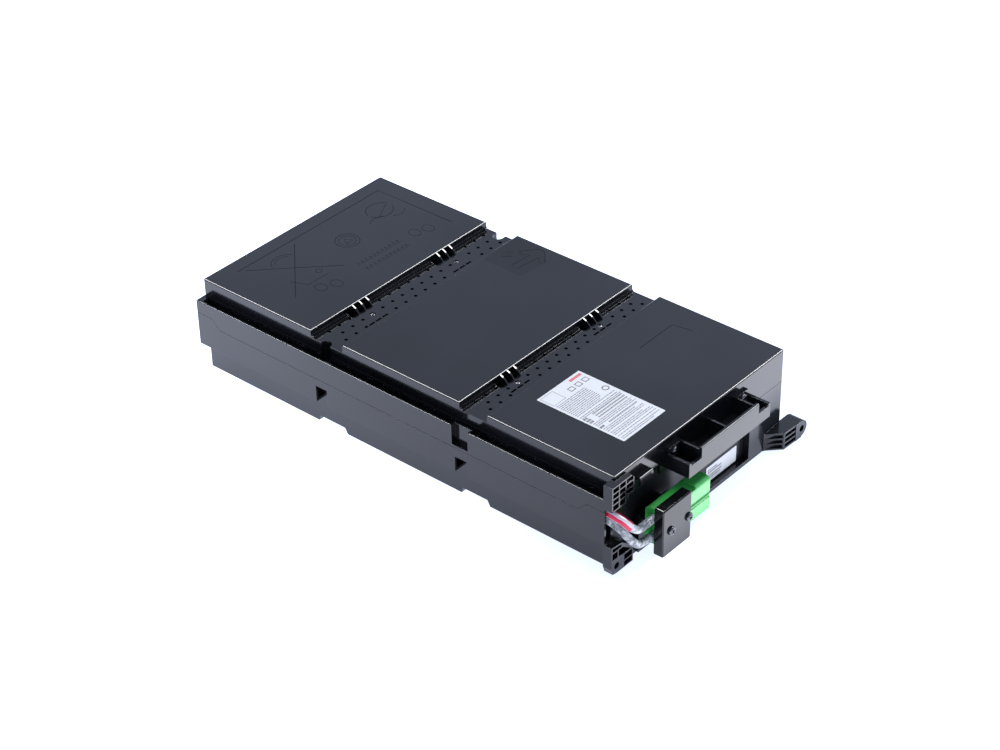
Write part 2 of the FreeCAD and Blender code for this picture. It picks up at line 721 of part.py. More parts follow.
def foot_lug():
    """Ribbed foot at the lower left with the cartridge's left fixing hole."""
    x0 = rail_x
    x1 = rail_x + lug_w
    front = -half_l - lug_out
    back = rail_y0
    body = along_y([(x0, screw_z), (x0 + 1.5, foot_bottom + 0.8), (x0 + 6, foot_bottom),
                    (x1, foot_bottom), (x1, foot_top_inner), (x0 + 11, foot_top - 1.3),
                    (x0, foot_top)], front, back + lug_root)
    body = body.fuse(rod(left_hole_x, front, screw_z, left_lobe_r, back + lug_root - front, V(0, 1, 0)))
    low = x0 + 12.5
    cells = [box(low + lug_rib, x1 - lug_rib, front - 1, front + 4, foot_bottom + lug_rib,
                 foot_bottom + 5),
             box(low + lug_rib, x1 - lug_rib, front - 1, front + 4, foot_bottom + 6,
                 foot_top_inner - 2.5),
             box(x0 + lug_rib, x0 + 6.5, front - 1, front + 4, screw_z + 6.5, foot_top - 5.5),
             along_y([(x0 + lug_rib, foot_top - 4.5), (x0 + lug_rib, foot_top - 1.2),
                      (x0 + 10.5, foot_top - 2.4), (x0 + 10.5, foot_top - 4.5)], front - 1, front + 4),
             along_y([(x0 + 7.5, foot_top - 5.5), (x0 + 12, foot_top - 5.5),
                      (x1 - 2.2, foot_top_inner - 1.2), (x0 + 13, foot_top_inner - 1.2),
                      (x0 + 7.5, screw_z + 6.5)], front - 1, front + 4)]
    return body.cut(cells).cut(rod(left_hole_x, front - 1, screw_z, screw_hole_r, drill_l, V(0, 1, 0)))


def screw_ear():
    """Bent ear at the right: four flanges on a web, with the right fixing hole."""
    y0 = -half_l
    y1 = y0 - ear_out
    x2 = right_hole_x
    web = along_z([(ear_root_x, y0 + 1), (ear_root_x, y0 - 0.6), (ear_bend_x, y1 + 4.6),
                   (x2, y1 + 3.6), (x2, y0 + 1)], ear_bottom, ear_bottom + ear_h)
    plan = [(ear_root_x, y0 + 1), (ear_root_x, y0), (ear_bend_x, y1 + 0.8), (x2, y1), (x2, y0 + 1)]
    pitch = (ear_h - ear_flange) / 3
    flanges = [along_z(plan, ear_bottom + k * pitch, ear_bottom + k * pitch + ear_flange)
               for k in range(4)]
    rib = along_z([(ear_bend_x - 0.7, y0), (ear_bend_x - 0.7, y1 + 1), (ear_bend_x + 0.7, y1 + 0.8),
                   (ear_bend_x + 0.7, y0)], ear_bottom, ear_bottom + ear_h)
    lobe = rod(x2, y1, screw_z, right_lobe_r + 0.7, ear_out + 1, V(0, 1, 0))
    cap = box(x2 - 7, x2, y1, y0 + 1, ear_bottom, ear_bottom + ear_h)
    lobe = lobe.common(box(x2 - 8, x2 + 8, y1 - 1, y0 + 2, ear_bottom, ear_bottom + ear_h))
    ear = fused([web, rib, lobe, cap] + flanges)
    return ear.cut(rod(x2, y1 - 1, screw_z, screw_hole_r, ear_out + 3, V(0, 1, 0)))


def bracket():
    """Pedestal behind the connector: a plate with two bosses for the clamp screws."""
    y1 = -half_l + 1.2
    y0 = y1 - bracket_t
    plate = box(bracket_x0, bracket_x1, y0, y1, 0, clamp_screw_z + 6)
    foot = box(bracket_x0, bracket_x1, y0, y1 + 3, 0, base_t)
    bosses = [rod(x, plug_y1, clamp_screw_z, screw_boss_r, y0 + 0.5 - plug_y1, V(0, 1, 0))
              for x in clamp_screw_x]
    webs = [box(x, x + 2, y0, y1 + 2.6, 0, clamp_screw_z) for x in (bracket_x0, bracket_x1 - 2)]
    pilots = [rod(x, plug_y1 - 1, clamp_screw_z, screw_shank_r + pilot_fit, clamp_thread + 1, V(0, 1, 0))
              for x in clamp_screw_x]
    return fused([plate, foot] + bosses + webs).cut(pilots)


def bottom_tray():
    shell = along_x(tray_outline(), -half_w, half_w)
    shell = rounded(shell, corner_r, lambda e: is_along(e, V(0, 0, 1)) and
                    abs(abs(e.Vertexes[0].Y) - half_l) < 1e-4)
    shell = shell.cut(along_x(tray_inside(), -half_w + wall, half_w - wall))
    opening = box(-half_w + 0.0, pilaster_x, -half_l - 1, -half_l + wall + 0.5, front_lip, part_z)
    shell = shell.cut(opening)
    lip = box(-half_w, pilaster_x, -half_l, end_3 - battery_l - battery_gap_end, 0, front_lip)
    pilaster = box(pilaster_x, pilaster_x + wall, -half_l, end_3 - battery_l - battery_gap_end, 0,
                   part_z - part_gap)
    partition = [box(-partition_t / 2, partition_t / 2, min(e, e - w * battery_l) + 1,
                     max(e, e - w * battery_l) - 1, base_t - 0.5, partition_h) for e, w in rows]
    stops = []
    for end, way in rows:
        near = end + way * battery_gap_end
        stops.append(box(-half_w + 1, half_w - 1, min(near, near + way * stop_t),
                         max(near, near + way * stop_t), base_t - 0.5, base_t + stop_h))
        if end != end_3:
            far = end - way * (battery_l + battery_gap_end)
            stops.append(box(-half_w + 1, half_w - 1, min(far, far - way * stop_t),
                             max(far, far - way * stop_t), base_t - 0.5, base_t + stop_h))
    post_z = base_t + belly_raise - 0.5
    post_h = floor_z - trough_floor_t - post_z
    screw_posts = [Part.Face(ring(post_r, shank_sides, V(s * screw_spot_x, y, post_z), V(0, 0, 1)))
                   .extrude(V(0, 0, post_h)) for s in (-1, 1) for y in (screw_row_1, screw_row_2)]
    tongue = box(-half_w + tongue_in, half_w - tongue_in, -half_l + tongue_in, half_l - tongue_in,
                 part_z - part_gap - 0.5, part_z - part_gap + tongue_h)
    tongue = tongue.cut(box(-half_w + tongue_in + tongue_t, half_w - tongue_in - tongue_t,
                            -half_l + tongue_in + tongue_t, half_l - tongue_in - tongue_t,
                            part_z - 2, part_z + 4))
    tongue = tongue.cut([box(-half_w - 1, pilaster_x, -half_l - 1, -half_l + 6, part_z - 2, part_z + 4),
                         box(-half_w - 1, -half_w + 5, end_3 - 2, passage_y1 + 1, part_z - 2, part_z + 4),
                         box(-half_w - 1, -half_w + 5, end_2, end_1, part_z - 2, part_z + 4),
                         box(half_w - 12, half_w + 1, end_2, end_1, part_z - 2, part_z + 4)])
    shell = fused([shell, lip, pilaster, rail_tray(), foot_lug(), screw_ear(), bracket(), tongue]
                  + partition + stops + screw_posts)
    passages = [box(-half_w, -half_w + wall + 0.1, end_3 - 1, passage_y1, passage_z, part_z),
                box(-half_w, -half_w + wall + 0.1, passage_y2, end_1 - 1, passage_z, part_z)]
    pilots = [rod(s * screw_spot_x, y, floor_z - pilot_depth, screw_shank_r + pilot_fit, drill_l, V(0, 0, 1))
              for s in (-1, 1) for y in (screw_row_1, screw_row_2)]
    return shell.cut(passages + pilots)


def groove_for_tongue(cover):
    low = part_z - 1
    high = part_z - part_gap + tongue_h + 0.3
    side = tongue_in - tongue_gap
    thick = tongue_t + 2 * tongue_gap
    ring = box(-half_w + side, half_w - side, -half_l + side, half_l - side, low, high)
    ring = ring.cut(box(-half_w + side + thick, half_w - side - thick, -half_l + side + thick,
                        half_l - side - thick, low - 1, high + 1))
    return cover.cut(ring)


# ---- handle -----------------------------------------------------------------------------------
def pull_handle():
    """Grab bar: an open-topped channel with ribs, lower screw pockets at both ends."""
    y0 = -half_l - handle_out
    y1 = -half_l
    z0 = top - handle_bottom_drop
    z1 = top - handle_top_drop
    z_pocket = top - handle_pocket_drop
    body = along_y([(handle_x0, z0), (handle_x0, z_pocket), (handle_x0 + handle_pocket, z_pocket),
                    (handle_x0 + handle_pocket, z1), (handle_x1 - handle_pocket, z1),
                    (handle_x1 - handle_pocket, z_pocket), (handle_x1, z_pocket), (handle_x1, z0)],
                   y0, y0 + handle_skin)
    floor = box(handle_x0, handle_x1, y0, y1, z0, z0 + handle_skin)
    ends = [box(x, x + handle_skin, y0, y1, z0, z1 - handle_rib_drop - 4)
            for x in (handle_x0, handle_x1 - handle_skin)]
    inner = [box(x, x + handle_rib, y0, y1, z0, z1 - handle_rib_drop)
             for x in (handle_x0 + handle_pocket, handle_x1 - handle_pocket - handle_rib,
                       (handle_x0 + handle_x1 - handle_rib) / 2)]
    ledges = [box(x, x + handle_ledge_l, y0 + 1, y0 + handle_skin + handle_ledge,
                  z1 - handle_ledge_drop, z1 - handle_ledge_drop + handle_rib)
              for x in (handle_x0 + handle_pocket + handle_rib + 3,
                        (handle_x0 + handle_x1) / 2 + 4)]
    back = [box(x - 6, x + 6, y1 - handle_skin, y1, z0, z_pocket + 6) for x in handle_screw_xs]
    shape = fused([body, floor] + ends + inner + ledges + back)
    shape = rounded(shape, 0.5, lambda e: all_at(e, "y", y0) and all_at(e, "z", z1))
    holes = [rod(x, y1 - handle_skin - 1, handle_screw_z, screw_shank_r + screw_fit, 5, V(0, 1, 0))
             for x in handle_screw_xs]
    return shape.cut(holes)


handle_screws = [pan_screw(x, -half_l - handle_skin, handle_screw_z, handle_skin + wall + 0.0)
                 for x in handle_screw_xs]


# ---- connector --------------------------------------------------------------------------------
def d_profile(low, high):
    """Rounded block of one pole in the YZ plane."""
    block = box(plug_x0, plug_x1, plug_y0, plug_y1, low, high)
    return rounded(block, plug_corner, lambda e: is_along(e, V(1, 0, 0)))


def connector_housing():
    lower = d_profile(plug_z0, plug_z + plug_waist)
    upper = d_profile(plug_z - plug_waist, plug_z1)
    web = box(plug_x0, plug_x1, plug_y0 + plug_waist, plug_y1 - plug_waist, plug_z - 4, plug_z + 4)
    shape = fused([lower, upper, web])
    step = box(plug_x1 - plug_step_l - 10, plug_x1 - plug_step_l, plug_y0 - 1, plug_y1 + 1,
               plug_z1 - plug_step_h, plug_z1 + 1)
    lines = [box(plug_x1 - plug_line_l, plug_x1 + 1, plug_y0 - 1, plug_y0 + 0.6 + plug_waist,
                 z - 0.3, z + 0.3)
             for z in (plug_z - 2, plug_z, plug_z + 2)]
    holes = []
    for z in (plug_z - pole_z, plug_z + pole_z):
        mouth = box(plug_x1 - plug_bore_depth, plug_x1 + 1, plug_y - plug_bore_w / 2,
                    plug_y + plug_bore_w / 2, z - plug_bore_h / 2, z + plug_bore_h / 2)
        holes.append(rounded(mouth, 2.0, lambda e: is_along(e, V(1, 0, 0))))
        holes.append(rod(plug_x0 - 1, plug_y, z, cable_d / 2 + 0.15, contact_x0 - plug_x0 + 1,
                         V(1, 0, 0)))
        holes.append(box(contact_x0, plug_x1 - plug_bore_depth, plug_y - contact_w / 2 - 0.1,
                         plug_y + contact_w / 2 + 0.1, z - contact_t / 2 - 0.1, z + contact_t / 2 + 0.1))
    screws = [rod(x, plug_y0 - 1, clamp_screw_z, screw_shank_r + screw_fit, drill_l, V(0, 1, 0))
              for x in clamp_screw_x]
    return shape.cut([step] + lines + holes + screws)


contact_x0 = plug_x0 + barrel_l
contact_x1 = plug_x1 - contact_setback


def contact(z):
    blade = box(contact_x0 + 0.1, contact_x1, plug_y - contact_w / 2, plug_y + contact_w / 2,
                z - contact_t / 2, z + contact_t / 2)
    return rounded(blade, 0.9, lambda e: all_at(e, "x", contact_x1) and is_along(e, V(0, 1, 0)))


def connector_clamp():
    """Cap over the back of the connector, rounded all round, with a rim on three sides."""
    y0 = plug_y0 - clamp_t
    body = box(clamp_x0, clamp_x1, y0, plug_y0 + clamp_lip, clamp_z0, clamp_z1)
    body = rounded(body, clamp_r, lambda e: is_along(e, V(0, 1, 0)))
    body = bevelled(body, 0.8, lambda e: all_at(e, "y", y0))
    seat = box(clamp_x0 + clamp_skin, clamp_x1 + 1, plug_y0, plug_y0 + clamp_lip + 1,
               clamp_z0 + clamp_skin, clamp_z1 - clamp_skin)
    holes = [rod(x, y0 - 1, clamp_screw_z, screw_shank_r + screw_fit, 10, V(0, 1, 0))
             for x in clamp_screw_x]
    return body.cut([seat] + holes)


clamp_screws = [pan_screw(x, plug_y0 - clamp_t, clamp_screw_z,
                          plug_y1 - plug_y0 + clamp_t + clamp_thread - 0.5) for x in clamp_screw_x]


# ---- leads ------------------------------------------------------------------------------------
bay_y = end_3 + 8.3
shift_x = rail_x + recess_depth + recess_skin + cable_d / 2 + 0.3
jumper_z = shelf_z + rail_shelf_t + jumper_d / 2 + 0.3
foot_3 = lead_start(tab_x, end_3, 1)
foot_2 = lead_start(tab_x, end_2, 1)
foot_1 = lead_start(tab_x, end_1, -1)


def across(y, z_start):
    """Short link between the two inner tabs of a row."""
    return [(tab_x_in, y, z_start), (tab_x_in, y, link_z), (-tab_x_in, y, link_z), (-tab_x_in, y, z_start)]


negative_route = [
    (contact_x0, plug_y, plug_z - pole_z), (plug_x0 - 12, plug_y, plug_z - pole_z),
    (-half_w, plug_y0 + 3, rise_low), (duct_x, -half_l - knee_out, duct_z_low),
    (duct_x + 0.25, -half_l + knee_in, duct_z_low), (duct_x, end_3 + 1.5, duct_z_low),
    (-half_w + 5.5, end_3 + 9, duct_z_low), (-half_w + 8.2, end_3 + 10.5, run_z + 3),
    (-battery_x - run_bend_out, bay_y, run_z), (10, bay_y - 0.6, run_z - 1),
    (battery_x + run_bend_out, bay_y + 1, run_z),
    (tab_x, foot_3[1], run_z + 2), (tab_x, foot_3[1], foot_3[2])]
positive_route = [
    (contact_x0, plug_y, plug_z + pole_z), (plug_x0 - 10, plug_y, plug_z + pole_z),
    (-half_w + 1.5, plug_y0 + 2, rise_high), (duct_x, -half_l - knee_out - 0.5, duct_z_high),
    (duct_x + 0.25, -half_l + knee_in, duct_z_high), (duct_x, end_3 + 0.2, duct_z_high),
    (shift_x, end_3 + 8.7, duct_z_high), (shift_x, end_2 - battery_l - 1.4, duct_z_high),
    (duct_x, end_2 - battery_l + 5.4, duct_z_high), (duct_x + 0.25, sum(pad_2) / 2 + 1, duct_z_high),
    (duct_x, end_2 + 7.4, duct_z_high), (-half_w + 5.2, end_2 + 15.4, duct_z_high - 5),
    (-half_w + 9.5, end_2 + 15.4, run_z + 2), (-tab_x, foot_1[1], run_z + 3),
    (-tab_x, foot_1[1], foot_1[2])]
left_link_route = [
    (-tab_x, foot_3[1], foot_3[2]), (-tab_x, foot_3[1], run_z + 12),
    (-half_w + 13, end_3 + 17.5, run_z + 10), (-half_w + 3, end_3 + 25.5, jumper_z),
    (duct_x, end_2 - battery_l + 2.4, jumper_z), (duct_x, end_2 + 2.6, jumper_z),
    (-half_w + 4, end_2 + 8.5, jumper_z), (-tab_x, foot_2[1], run_z + 9), (-tab_x, foot_2[1], foot_2[2])]
right_link_route = [
    (tab_x, foot_2[1], foot_2[2]), (tab_x, foot_2[1], link_z), (tab_x, foot_1[1], link_z),
    (tab_x, foot_1[1], foot_1[2])]

receptacles = []
for side in (-1, 1):
    for end, way, outer_d in ((end_1, -1, cable_d if side < 0 else jumper_d), (end_2, 1, jumper_d),
                              (end_3, 1, cable_d if side > 0 else jumper_d)):
        receptacles.append(receptacle(side * tab_x, end, way, outer_d))
        receptacles.append(receptacle(side * tab_x_in, end, way, jumper_d))


def cable_tag():
    """Label wrapped round the upper lead between the case and the connector."""
    wrapped = route(positive_route)[tag_runs]
    fit_r = round_the_lead(cable_d, tag_gap)
    return swept(wrapped, fit_r + tag_t).cut(swept(wrapped, fit_r))


# ---- labels -----------------------------------------------------------------------------------
top_label_x = -half_w + top_label_left
top_label = box(top_label_x, top_label_x + top_label_w, pad_3[0] + top_label_front,
                pad_3[1] - top_label_rear, top, top + label_t)
front_y = end_3 - battery_l
front_label = box(battery_x - front_label_left, battery_x + front_label_right, front_y - label_t,
                  front_y, front_label_z0, front_label_z1)


# ---- cover screws -------------------------------------------------------------------------------
def cover_screw(x, y):
    z = floor_z - trough_floor_t + spot_depth
    head = rod(x, y, z, spot_head_r, spot_head_h, V(0, 0, 1))
    shank = Part.Face(ring(screw_shank_r, shank_sides, V(x, y, z), V(0, 0, 1)))
    return head.fuse(shank.extrude(V(0, 0, -cover_screw_l)))


cover_screws = [cover_screw(s * screw_spot_x, y) for s in (-1, 1) for y in (screw_row_1, screw_row_2)]
spot_seats = [rod(s * screw_spot_x, y, floor_z - trough_floor_t + spot_depth, spot_head_r + screw_fit,
                  spot_drill_l, V(0, 0, 1)) for s in (-1, 1) for y in (screw_row_1, screw_row_2)]


# ---- files ------------------------------------------------------------------------------------
nodes = {
    "top_cover": groove_for_tongue(top_cover().cut(spot_seats)),
    "bottom_tray": bottom_tray(),
    "battery_terminals": Part.makeCompound(tabs),
    "tab_receptacles": Part.makeCompound(receptacles),
    "pull_handle": pull_handle(),
    "handle_screws": Part.makeCompound(handle_screws),
    "connector_housing": connector_housing(),
    "contact_negative": contact(plug_z - pole_z),
    "contact_positive": contact(plug_z + pole_z),
    "connector_clamp": connector_clamp(),
    "clamp_screws": Part.makeCompound(clamp_screws),
    "negative_cable": lead(negative_route, cable_d),
    "positive_cable": lead(positive_route, cable_d),
    "jumper_front": lead(across(foot_3[1], foot_3[2]), jumper_d),
    "jumper_left": lead(left_link_route, jumper_d),
    "jumper_middle": lead(across(foot_2[1], foot_2[2]), jumper_d),
    "jumper_right": lead(right_link_route, jumper_d),
    "jumper_rear": lead(across(foot_1[1], foot_1[2]), jumper_d),
    "cable_tag": cable_tag(),
    "cover_screws": Part.makeCompound(cover_screws),
    "top_label": top_label,
    "front_label": front_label,
}
for number, block in enumerate(batteries, 1):
    nodes["battery_%d" % number] = block
for section, rail in zip(("front", "middle", "rear"), guide_rails()):
    nodes["guide_rail_%s" % section] = rail

os.makedirs("parts", exist_ok=True)
for name, shape in nodes.items():
    print(name, len(shape.Solids), "solids, valid:", shape.isValid(), "volume %.0f" % shape.Volume)
    shape.exportStep("parts/%s.step" % name)
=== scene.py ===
# UPS battery cartridge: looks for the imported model. Metres, +Z up, front towards -Y.
import bpy
import bmesh
import math
import random
from mathutils import Matrix, Vector


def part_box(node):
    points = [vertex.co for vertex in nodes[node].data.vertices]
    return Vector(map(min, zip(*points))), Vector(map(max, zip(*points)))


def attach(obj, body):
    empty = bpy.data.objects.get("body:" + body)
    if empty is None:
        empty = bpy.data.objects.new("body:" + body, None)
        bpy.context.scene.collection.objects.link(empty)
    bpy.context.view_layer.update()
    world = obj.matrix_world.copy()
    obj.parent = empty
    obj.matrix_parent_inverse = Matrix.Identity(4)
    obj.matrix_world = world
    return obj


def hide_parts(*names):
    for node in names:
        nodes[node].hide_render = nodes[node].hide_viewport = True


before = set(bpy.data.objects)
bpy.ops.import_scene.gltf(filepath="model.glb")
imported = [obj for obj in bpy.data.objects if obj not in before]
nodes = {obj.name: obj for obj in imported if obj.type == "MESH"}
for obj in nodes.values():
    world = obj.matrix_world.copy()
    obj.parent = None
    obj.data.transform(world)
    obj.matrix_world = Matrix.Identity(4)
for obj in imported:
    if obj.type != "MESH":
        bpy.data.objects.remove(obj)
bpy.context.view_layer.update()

# ---- camera, matched to the photograph --------------------------------------------------------
AIM = Vector((-0.0230, -0.0315, 0.0485))
AZIMUTH = math.radians(-49.04)
ELEVATION = math.radians(34.65)
ROLL = math.radians(-1.083)
DISTANCE = 1.72
LENS = 88.58

# ---- light ------------------------------------------------------------------------------------
SKY = (0.68, 0.77, 1.0)
SKY_STRENGTH = 0.86
GLOW_REAR = 2.5                 # floor brightness beside the rear
GLOW_SIDE = 1.12                # beside the front
GLOW_FRONT = 3.2                # before the front
GLOW_SIDE_Y = (-0.15, 0.28)     # the brightness at the side grows over this stretch
GLOW_FRONT_FADE = 0.03
GLOW_SIDE_TINT = (0.73, 0.80, 1.0)
GLOW_FRONT_TINT = (0.86, 0.89, 1.0)
FLOOR_REACH = 6.0
LIGHT_AIM = Vector((0, 0, 0.05))
# name, direction, distance, size, power, seen only as a reflection
SOFTBOXES = [
    ("overhead", (0.1, 0.1, 1.0), 2.2, 1.2, 22, False),
    ("edge_left", (0.02, 0.54, 0.84), 2.4, 1.0, 115, True),
    ("edge_right", (0.62, -0.01, 0.78), 2.4, 1.0, 115, True)]

# ---- places, from the frame -------------------------------------------------------------------
MM = 0.001
FRONT_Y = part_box("bottom_tray")[0].y
PAD_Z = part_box("top_label")[0].z
REAR_PAD_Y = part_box("top_cover")[1].y - 0.0539      # middles of the three raised pads
MIDDLE_PAD_Y = 0.0
FRONT_PAD_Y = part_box("battery_5")[0].y + 0.0494
SQUARE = [(-1, -1), (1, -1), (1, 1), (-1, 1)]


def add_camera():
    flat = math.cos(ELEVATION)
    back = Vector((math.sin(AZIMUTH) * flat, -math.cos(AZIMUTH) * flat, math.sin(ELEVATION)))
    right = Vector((0, 0, 1)).cross(back).normalized()
    up = back.cross(right)
    tilted_right = math.cos(ROLL) * right + math.sin(ROLL) * up
    tilted_up = math.cos(ROLL) * up - math.sin(ROLL) * right
    data = bpy.data.cameras.new("camera")
    data.lens = LENS
    data.sensor_width = 36.0
    data.clip_end = 50
    camera = bpy.data.objects.new("camera", data)
    axes = Matrix((tilted_right, tilted_up, back)).transposed().to_4x4()
    camera.matrix_world = Matrix.Translation(AIM + back * DISTANCE) @ axes
    bpy.context.scene.collection.objects.link(camera)
    bpy.context.scene.camera = camera


def add_softbox(name, direction, distance, size, power, only_gloss):
    data = bpy.data.lights.new(name, "AREA")
    data.shape = "SQUARE"
    data.size = size
    data.energy = power
    light = bpy.data.objects.new(name, data)
    toward = Vector(direction).normalized()
    light.location = LIGHT_AIM + toward * distance
    light.rotation_euler = toward.to_track_quat("Z", "Y").to_euler()
    light.visible_diffuse = not only_gloss
    bpy.context.scene.collection.objects.link(light)


def add_world():
    world = bpy.data.worlds.new("studio")
    world.use_nodes = True
    background = world.node_tree.nodes["Background"]
    background.inputs["Color"].default_value = (*SKY, 1)
    background.inputs["Strength"].default_value = SKY_STRENGTH
    bpy.context.scene.world = world


# ---- material helpers -------------------------------------------------------------------------
BEVEL_SAMPLES = 6


class Surface:
    """A Principled material with short ways to add nodes."""

    def __init__(self, name):
        self.material = bpy.data.materials.new(name)
        self.material.use_nodes = True
        self.tree = self.material.node_tree
        self.shader = self.tree.nodes["Principled BSDF"]
        self.place = self.node("ShaderNodeTexCoord").outputs["Object"]

    def node(self, kind, **settings):
        node = self.tree.nodes.new(kind)
        for key, value in settings.items():
            setattr(node, key, value)
        return node

    def put(self, socket, value):
        """Link a node's output, or set a value that is the same all over."""
        if isinstance(value, bpy.types.NodeSocket):
            self.tree.links.new(value, socket)
        else:
            socket.default_value = value

    def set(self, socket, value):
        self.put(self.shader.inputs[socket], value)

    def mottle(self, factor, first, second):
        """Base colour that wanders between two colours."""
        self.set("Base Color", self.blend(factor, (*first, 1), (*second, 1)))

    def noise(self, scale, detail=2.0, roughness=0.5):
        node = self.node("ShaderNodeTexNoise")
        self.put(node.inputs["Vector"], self.place)
        node.inputs["Scale"].default_value = scale
        node.inputs["Detail"].default_value = detail
        node.inputs["Roughness"].default_value = roughness
        return node.outputs["Fac"]

    def spread(self, value, low, high, from_low=0.0, from_high=1.0):
        node = self.node("ShaderNodeMapRange")
        self.put(node.inputs["Value"], value)
        node.inputs["From Min"].default_value = from_low
        node.inputs["From Max"].default_value = from_high
        node.inputs["To Min"].default_value = low
        node.inputs["To Max"].default_value = high
        return node.outputs["Result"]

    def blend(self, factor, first, second):
        """Mix of two colours, through the colour sockets 6, 7 and 2 of the node."""
        node = self.node("ShaderNodeMix", data_type="RGBA")
        self.put(node.inputs[0], factor)
        self.put(node.inputs[6], first)
        self.put(node.inputs[7], second)
        return node.outputs[2]

    def math(self, operation, first, second=0.0):
        node = self.node("ShaderNodeMath", operation=operation)
        self.put(node.inputs[0], first)
        self.put(node.inputs[1], second)
        return node.outputs[0]

    def axes(self, vector):
        node = self.node("ShaderNodeSeparateXYZ")
        self.put(node.inputs[0], vector)
        return node.outputs

    def bump(self, height, strength, distance, edge=0.0):
        node = self.node("ShaderNodeBump")
        self.put(node.inputs["Height"], height)
        node.inputs["Strength"].default_value = strength
        node.inputs["Distance"].default_value = distance
        if edge:
            bevel = self.node("ShaderNodeBevel")
            bevel.samples = BEVEL_SAMPLES
            bevel.inputs["Radius"].default_value = edge
            self.put(node.inputs["Normal"], bevel.outputs["Normal"])
        self.set("Normal", node.outputs["Normal"])


def dress(material, *names):
    for name in names:
        slots = nodes[name].data.materials
        slots.clear()
        slots.append(material)


# ---- materials --------------------------------------------------------------------------------
def case_plastic(name="case_plastic", shine=0.5, edge=0.00015):
    """Near-black injection-moulded plastic: glossy, faintly cloudy, fine grain."""
    s = Surface(name)
    cloud = s.noise(5.0, 3.0, 0.6)
    s.mottle(s.spread(cloud, 0, 1, 0.35, 0.65), (0.0015, 0.0017, 0.002), (0.010, 0.011, 0.014))
    s.set("Roughness", s.spread(cloud, 0.10, 0.15))
    s.set("IOR", 1.5)
    s.set("Specular IOR Level", shine)
    s.bump(s.noise(1500.0, 2.0), 0.04, 0.00001, edge)
    return s.material


def battery_plastic():
    """Dark grey textured block container."""
    s = Surface("battery_plastic")
    cloud = s.noise(30.0, 4.0)
    s.mottle(cloud, (0.004, 0.004, 0.005), (0.008, 0.008, 0.010))
    s.set("Roughness", s.spread(cloud, 0.22, 0.30))
    s.set("Specular IOR Level", 0.25)
    s.bump(s.noise(900.0, 3.0), 0.2, 0.00003, 0.0006)
    return s.material


def painted_groove_shade():
    """Painted groove shade for the moulded marks, which are real on the pads: a flat strip, dull and
    dark, with no reflection of its own, stands in for the shadow inside each groove.
    """
    s = Surface("painted_groove_shade")
    cloud = s.noise(400.0, 3.0)
    # painted shade: the dull dark colour of the shadow inside a groove
    s.mottle(cloud, (0.018, 0.020, 0.027), (0.027, 0.030, 0.038))
    s.set("Roughness", s.spread(cloud, 0.7, 0.9))
    s.set("Specular IOR Level", 0.0)
    return s.material


def connector_plastic():
    """Glossy green polycarbonate."""
    s = Surface("connector_green")
    cloud = s.noise(60.0, 3.0)
    s.mottle(cloud, (0.035, 0.38, 0.055), (0.055, 0.45, 0.085))
    s.set("Roughness", s.spread(cloud, 0.18, 0.28))
    s.set("Specular IOR Level", 1.0)
    s.bump(s.noise(1100.0, 2.0), 0.1, 0.00003, 0.0004)
    return s.material


def steel(name, colour, low, high):
    """Plated metal between two roughness values."""
    s = Surface(name)
    fine = s.noise(700.0, 4.0)
    s.set("Metallic", 1.0)
    s.mottle(fine, colour, tuple(c * 0.7 for c in colour))
    s.set("Roughness", s.spread(fine, low, high))
    s.bump(fine, 0.15, 0.00002, 0.0002)
    return s.material


def lead_grey():
    """Grey clear-coated insulation with a mottled shine: its colour wanders between dark and pale
    patches, and the pale patches are a painted highlight for the glints on its gloss.
    """
    s = Surface("lead_grey")
    cloud = s.noise(260.0, 5.0, 0.75)
    # painted highlight: the pale colour stands in for glints, the dark colour is the lead's own grey
    s.mottle(s.spread(cloud, 0, 1, 0.40, 0.60), (0.48, 0.50, 0.51), (0.05, 0.055, 0.06))
    s.set("Roughness", s.spread(cloud, 0.15, 0.35))
    s.bump(s.noise(420.0, 3.0), 0.5, 0.0003)
    return s.material


def soft_plastic(name, scale, first, second, low, high):
    """Plain insulation of the links and the receptacles."""
    s = Surface(name)
    cloud = s.noise(scale, 3.0)
    s.mottle(cloud, first, second)
    s.set("Roughness", s.spread(cloud, low, high))
    s.bump(cloud, 0.2, 0.00005)
    return s.material


def tag_wrap():
    """Wrapped label: crimson, with pale bands that run along the lead and waver a little."""
    s = Surface("tag_red")
    waver = s.math("MULTIPLY", s.noise(180.0, 2.0), 0.06)
    across = s.axes(s.node("ShaderNodeTexCoord").outputs["UV"])[0]
    stripe = s.math("SINE", s.math("MULTIPLY", s.math("ADD", across, waver), 2 * math.pi * TAG_BANDS))
    s.mottle(s.spread(stripe, 0, 1, -0.15, 0.0), (0.62, 0.58, 0.60), (0.50, 0.004, 0.045))
    s.set("Roughness", 0.25)
    s.bump(s.noise(350.0, 3.0), 0.3, 0.0002)
    return s.material


def paper():
    """White coated paper."""
    s = Surface("paper_white")
    fibre = s.noise(900.0, 5.0, 0.7)
    s.mottle(fibre, (0.62, 0.62, 0.61), (0.70, 0.70, 0.69))
    s.set("Roughness", 0.45)
    s.bump(fibre, 0.1, 0.00003)
    return s.material


def ink(name, colour):
    """Printed ink, paler where the fibres show."""
    s = Surface(name)
    s.mottle(s.noise(1400.0, 5.0, 0.7), colour, tuple(c * 1.6 + 0.02 for c in colour))
    s.set("Roughness", 0.5)
    return s.material


